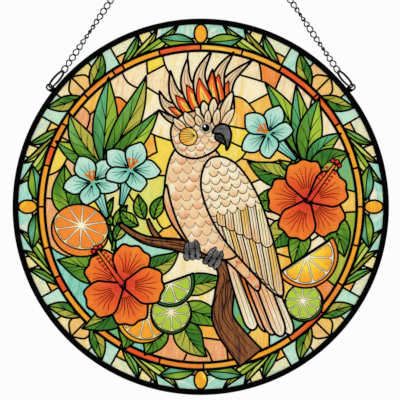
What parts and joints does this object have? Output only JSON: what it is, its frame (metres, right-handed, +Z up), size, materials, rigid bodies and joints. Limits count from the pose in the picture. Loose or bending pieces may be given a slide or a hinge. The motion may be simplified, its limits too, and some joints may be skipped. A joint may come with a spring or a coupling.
{
  "type": "stained glass window",
  "caption": "Round leaded glass panel of a crested bird among flowers, leaves and cut fruit in a black ring frame, hung from a small ring on black twisted chains.",
  "frame": {"origin": "top of the hole in the hanging ring, where a hook carries the panel", "axes": "+Z up, the picture's front faces -Y, +X to the right as seen from the front"},
  "size_m": [0.3, 0.0176, 0.4279],
  "materials": {
    "black_frame": "matt black paint",
    "black_lead": "matt black patina",
    "black_chain": "satin black",
    "glass_cream": "streaky cream opalescent glass",
    "glass_straw": "streaky straw yellow glass",
    "glass_amber": "amber glass",
    "glass_orange": "orange glass with a darker middle",
    "glass_leaf": "green glass in light and dark streaks",
    "glass_aqua": "pale aqua glass",
    "glass_feather": "cream and peach glass with painted lines",
    "glass_peach": "peach and amber glass with painted lines",
    "glass_flame": "orange red glass fading to yellow",
    "glass_slate": "dark grey glass",
    "glass_bark": "brown glass with painted grain",
    "glass_lime": "lime green glass",
    "glass_lemon": "lemon yellow glass"
  },
  "bodies": {
    "root": {"chain_left": "black_chain", "chain_right": "black_chain", "glass_band_1": "glass_amber", "glass_band_2": "glass_amber", "glass_bird_beak": "glass_slate", "glass_bird_breast": "glass_feather", "glass_bird_crest": "glass_flame", "glass_bird_head": "glass_feather", "glass_bird_tail": "glass_peach", "glass_bird_wing": "glass_feather", "glass_blossom_left": "glass_orange", "glass_blossom_right": "glass_orange", "glass_border_1": "glass_cream", "glass_border_2": "glass_cream", "glass_border_3": "glass_cream", "glass_border_4": "glass_cream", "glass_border_leaf_1": "glass_leaf", "glass_border_leaf_2": "glass_leaf", "glass_border_leaf_3": "glass_leaf", "glass_border_leaf_4": "glass_leaf", "glass_branch": "glass_bark", "glass_broad_leaf_1": "glass_leaf", "glass_broad_leaf_2": "glass_leaf", "glass_broad_leaf_3": "glass_leaf", "glass_broad_leaf_4": "glass_leaf", "glass_broad_leaf_5": "glass_leaf", "glass_broad_leaf_6": "glass_leaf", "glass_broad_leaf_7": "glass_leaf", "glass_broad_leaf_8": "glass_leaf", "glass_broad_leaf_9": "glass_leaf", "glass_field_1": "glass_straw", "glass_field_2": "glass_straw", "glass_field_3": "glass_straw", "glass_field_4": "glass_straw", "glass_field_5": "glass_straw", "glass_field_6": "glass_straw", "glass_field_7": "glass_straw", "glass_field_8": "glass_straw", "glass_field_9": "glass_straw", "glass_lemon_half": "glass_lemon", "glass_lemon_round": "glass_lemon", "glass_lime_half": "glass_lime", "glass_lime_round_left": "glass_lime", "glass_lime_round_right": "glass_lime", "glass_long_leaf_left_1": "glass_leaf", "glass_long_leaf_left_2": "glass_leaf", "glass_long_leaf_left_3": "glass_leaf", "glass_long_leaf_left_4": "glass_leaf", "glass_long_leaf_right_1": "glass_leaf", "glass_long_leaf_right_2": "glass_leaf", "glass_long_leaf_right_3": "glass_leaf", "glass_orange_half": "glass_orange", "glass_trumpet_1": "glass_aqua", "glass_trumpet_2": "glass_aqua", "glass_trumpet_3": "glass_aqua", "hanging_ring": "black_chain", "lead_lattice": "black_lead", "outer_frame": "black_frame", "split_ring_left": "black_chain", "split_ring_right": "black_chain"}
  },
  "joints": []
}
